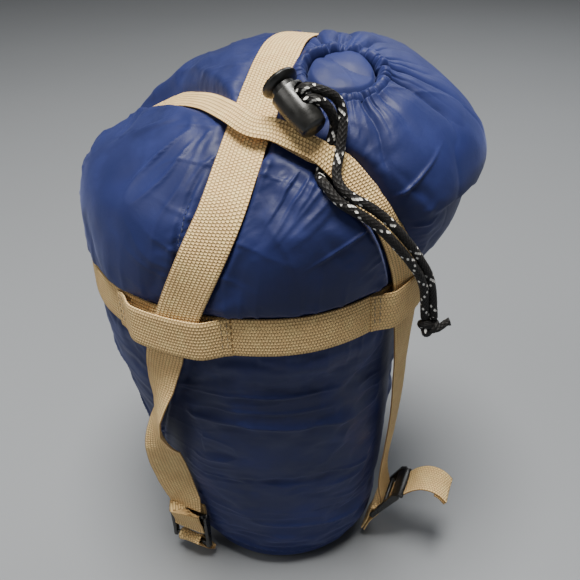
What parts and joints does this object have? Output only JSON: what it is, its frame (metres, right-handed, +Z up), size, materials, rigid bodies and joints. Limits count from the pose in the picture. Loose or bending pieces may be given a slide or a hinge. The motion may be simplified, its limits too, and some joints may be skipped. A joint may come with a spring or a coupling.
{
  "type": "compression sack",
  "caption": "Stuffed drawcord sack held by two crossed webbing straps, a sliding webbing ring, ladder-lock buckles and a cord lock.",
  "frame": {"origin": "centre of the flat of the base panel, on the surface the sack stands on", "axes": "+Z up along the stuffed sack, -Y towards the side with the wide front lobe and the cord lock, +X towards the leg with the webbing tail"},
  "size_m": [0.208, 0.1697, 0.3087],
  "materials": {
    "nylon_blue": "thin coated nylon, semi-matt sheen",
    "nylon_channel": "thin coated nylon, gathered",
    "contents_cloth": "smooth nylon shell of the packed item",
    "webbing_tan": "ribbed polypropylene webbing",
    "cord_black": "braided cord with white flecks",
    "acetal_black": "moulded, satin gloss",
    "spring_steel": "bright wire"
  },
  "bodies": {
    "sack": {"sack_side_wall": "nylon_blue", "sack_base_panel": "nylon_blue", "packed_contents": "contents_cloth", "drawcord_channel": "nylon_channel", "drawcord_loop": "cord_black", "strap_a": "webbing_tan", "strap_b": "webbing_tan", "anchor_tab_right": "webbing_tan", "anchor_tab_front_left": "webbing_tan", "cord_strand_1": "cord_black", "cord_strand_2": "cord_black", "cord_knot": "cord_black", "cord_lock_barrel": "acetal_black", "cord_lock_spring": "spring_steel"},
    "ring": {"compression_ring_band": "webbing_tan", "ring_keeper_front_left": "webbing_tan", "ring_keeper_back_right": "webbing_tan", "ring_keeper_left_rear": "webbing_tan", "ring_keeper_right": "webbing_tan"},
    "plunger": {"cord_lock_plunger": "acetal_black"},
    "buckle_left": {"ladder_lock_front_left": "acetal_black", "strap_a_tail": "webbing_tan"},
    "buckle_right": {"ladder_lock_right": "acetal_black", "strap_b_turn": "webbing_tan"},
    "tail_right": {"strap_b_tail": "webbing_tan"}
  },
  "joints": [
    {"name": "ring_slide", "type": "slide", "parent": "sack", "child": "ring", "axis": [0, 0, 1], "range_m": [-0.0055, 0]},
    {"name": "plunger_press", "type": "slide", "parent": "sack", "child": "plunger", "axis": [0.5647, -0.6018, -0.5647], "range_m": [0, 0.0025], "stiffness_N_per_m": 600, "springref_m": -0.003},
    {"name": "buckle_left_tilt", "type": "hinge", "parent": "sack", "child": "buckle_left", "pos_m": [-0.0548, -0.0436, 0.0156], "axis": [0.9061, -0.423, 0], "range_deg": [0, 9]},
    {"name": "buckle_right_tilt", "type": "hinge", "parent": "sack", "child": "buckle_right", "pos_m": [0.0616, -0.0254, 0.027], "axis": [0.361, 0.9326, 0], "range_deg": [-4, 20]},
    {"name": "tail_pull", "type": "slide", "parent": "buckle_right", "child": "tail_right", "axis": [0.8046, -0.3119, 0.5052], "range_m": [0, 0.008]}
  ]
}
